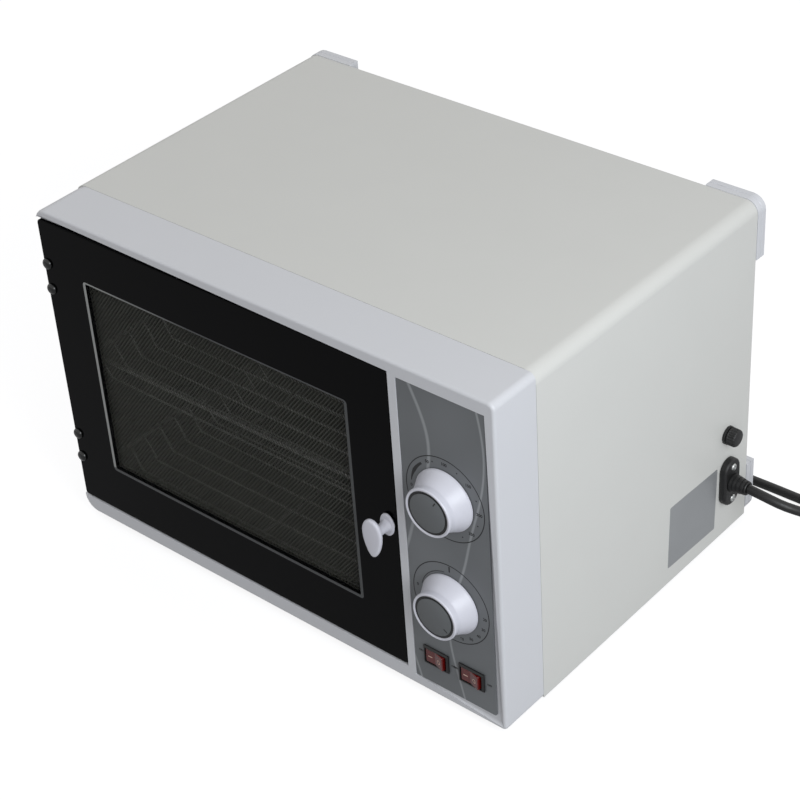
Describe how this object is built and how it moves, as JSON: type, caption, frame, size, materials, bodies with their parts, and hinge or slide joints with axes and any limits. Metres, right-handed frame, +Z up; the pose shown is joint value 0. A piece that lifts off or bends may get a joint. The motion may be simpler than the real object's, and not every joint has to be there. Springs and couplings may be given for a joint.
{
  "type": "uv sterilizer cabinet",
  "caption": "Bench-top UV and dry-heat sterilizer: glass door with a wire-screened window, turn latch, wire baskets inside, and a side panel with knobs and rocker switches.",
  "frame": {"origin": "under the middle of the cabinet's bounding box, on the surface that its feet stand on, with the mains cord, coil and plug left out", "axes": "+Z up, -Y out of the door and the control panel, +X to the operator's right"},
  "size_m": [0.468, 0.4332, 0.2667],
  "materials": {
    "white_abs": "satin grey-white moulded ABS",
    "cream_enamel": "fine satin cream-white enamel on sheet steel",
    "black_glass": "dark tinted toughened glass, screen-printed at the back",
    "black_enamel": "satin black enamel",
    "perforated_steel": "dark perforated sheet",
    "grey_silicone": "matt grey silicone",
    "stainless_steel": "brushed stainless sheet",
    "zinc_plate": "zinc plated steel",
    "chrome_wire": "bright chromed steel",
    "grey_print": "dark grey printed control sheet",
    "knob_white": "glossy white moulded plastic",
    "knob_disc_grey": "dark grey disc",
    "black_plastic": "satin black plastic",
    "red_lens": "dark red translucent lens",
    "black_rubber": "matt black rubber",
    "black_pvc": "satin black PVC",
    "quartz_glass": "clear quartz tube with metal caps",
    "white_ceramic": "glazed white ceramic"
  },
  "bodies": {
    "cabinet": {"front_bezel": "white_abs", "control_fascia": "grey_print", "cabinet_shell": "cream_enamel", "base_pan": "cream_enamel", "back_panel": "cream_enamel", "rear_bumper_top_left": "white_abs", "rear_bumper_top_right": "white_abs", "rear_bumper_bottom_left": "white_abs", "rear_bumper_bottom_right": "white_abs", "foot_front_left": "black_rubber", "foot_front_right": "black_rubber", "foot_rear_left": "black_rubber", "foot_rear_right": "black_rubber", "chamber_liner": "stainless_steel", "rack_runner_left": "stainless_steel", "rack_runner_right": "stainless_steel", "uv_lamp": "quartz_glass", "lamp_holder_left": "white_ceramic", "lamp_holder_right": "white_ceramic", "heater_element": "stainless_steel", "lamp_ballast": "zinc_plate", "hinge_bracket_upper": "zinc_plate", "hinge_bracket_lower": "zinc_plate", "hinge_pin_upper": "zinc_plate", "hinge_pin_lower": "zinc_plate", "thermostat_body": "zinc_plate", "timer_body": "black_plastic", "heater_switch_housing": "black_plastic", "lamp_switch_housing": "black_plastic", "fuse_holder": "black_plastic", "cord_anchor": "black_plastic", "strain_relief": "black_rubber", "mains_cord": "black_pvc", "cord_coil": "black_pvc", "mains_plug": "black_pvc"},
    "door": {"door_glass": "black_glass", "door_screen": "perforated_steel", "door_frame": "black_enamel", "door_seal": "grey_silicone", "hinge_block_upper": "black_plastic", "hinge_block_lower": "black_plastic", "hinge_screw_upper_top": "chrome_wire", "hinge_screw_upper_bottom": "chrome_wire", "hinge_screw_lower_top": "chrome_wire", "hinge_screw_lower_bottom": "chrome_wire"},
    "latch": {"latch_handle": "knob_white", "latch_spindle": "zinc_plate", "latch_tongue": "zinc_plate"},
    "thermostat_knob": {"thermostat_knob": "knob_white", "thermostat_knob_cap": "knob_disc_grey", "thermostat_shaft": "zinc_plate"},
    "timer_knob": {"timer_knob": "knob_white", "timer_knob_cap": "knob_disc_grey", "timer_shaft": "zinc_plate"},
    "heater_rocker": {"heater_rocker": "red_lens"},
    "lamp_rocker": {"lamp_rocker": "red_lens"},
    "fuse_cap": {"fuse_cap": "black_plastic"},
    "upper_basket": {"upper_basket": "chrome_wire"},
    "lower_basket": {"lower_basket": "chrome_wire"}
  },
  "joints": [
    {"name": "door_swing", "type": "hinge", "parent": "cabinet", "child": "door", "pos_m": [-0.2035, -0.1273, 0.1364], "axis": [0, 0, -1], "range_deg": [0, 105]},
    {"name": "latch_turn", "type": "hinge", "parent": "door", "child": "latch", "pos_m": [0.1008, -0.1361, 0.1364], "axis": [0, -1, 0], "range_deg": [0, 90]},
    {"name": "thermostat_turn", "type": "hinge", "parent": "cabinet", "child": "thermostat_knob", "pos_m": [0.1493, -0.1361, 0.1779], "axis": [0, 1, 0], "range_deg": [0, 300]},
    {"name": "timer_turn", "type": "hinge", "parent": "cabinet", "child": "timer_knob", "pos_m": [0.1493, -0.1361, 0.0943], "axis": [0, 1, 0], "range_deg": [-130, 170]},
    {"name": "heater_rocker_tilt", "type": "hinge", "parent": "cabinet", "child": "heater_rocker", "pos_m": [0.1345, -0.1341, 0.0392], "axis": [0, 0, 1], "range_deg": [0, 16]},
    {"name": "lamp_rocker_tilt", "type": "hinge", "parent": "cabinet", "child": "lamp_rocker", "pos_m": [0.1641, -0.1341, 0.0392], "axis": [0, 0, 1], "range_deg": [0, 16]},
    {"name": "fuse_cap_turn", "type": "hinge", "parent": "cabinet", "child": "fuse_cap", "pos_m": [0.191, 0.1178, 0.0933], "axis": [1, 0, 0], "range_deg": [0, 90]},
    {"name": "upper_basket_slide", "type": "slide", "parent": "cabinet", "child": "upper_basket", "axis": [0, 1, 0], "range_m": [0, 0.02]},
    {"name": "lower_basket_slide", "type": "slide", "parent": "cabinet", "child": "lower_basket", "axis": [0, 1, 0], "range_m": [0, 0.02]}
  ]
}
